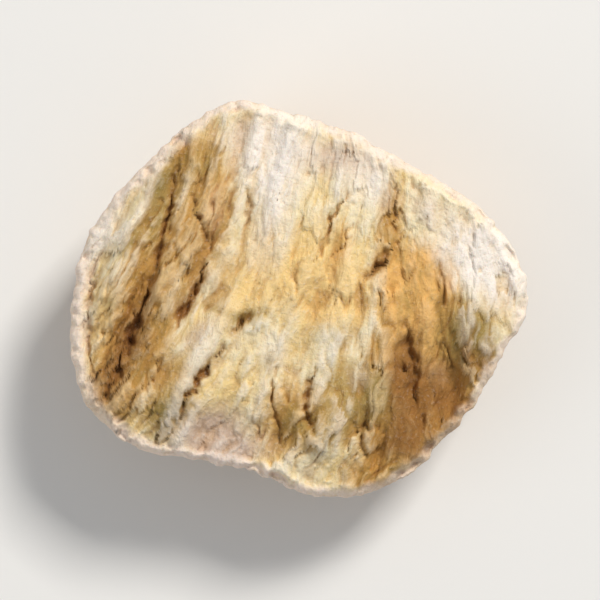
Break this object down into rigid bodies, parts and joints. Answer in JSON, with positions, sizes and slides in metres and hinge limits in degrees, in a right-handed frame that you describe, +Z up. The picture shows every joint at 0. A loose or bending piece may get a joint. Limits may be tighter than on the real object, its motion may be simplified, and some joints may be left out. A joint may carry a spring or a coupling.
{
  "type": "asian ginseng slice",
  "caption": "Chunky dried root slice with a pale rim, a torn fibrous ochre face, crumpled walls and a flat cut underside to lie on.",
  "frame": {"origin": "on the table, under the middle of the slice's box", "axes": "+Z up out of the torn face, +X along the slice's longest side towards its blunt tip, +Y roughly along the fibres"},
  "size_m": [0.0094, 0.0082, 0.0036],
  "materials": {
    "dried_root": "dry, matt, starchy root, cream at the rim and ochre on the torn face"
  },
  "bodies": {
    "root": {"ginseng_slice": "dried_root"}
  },
  "joints": []
}
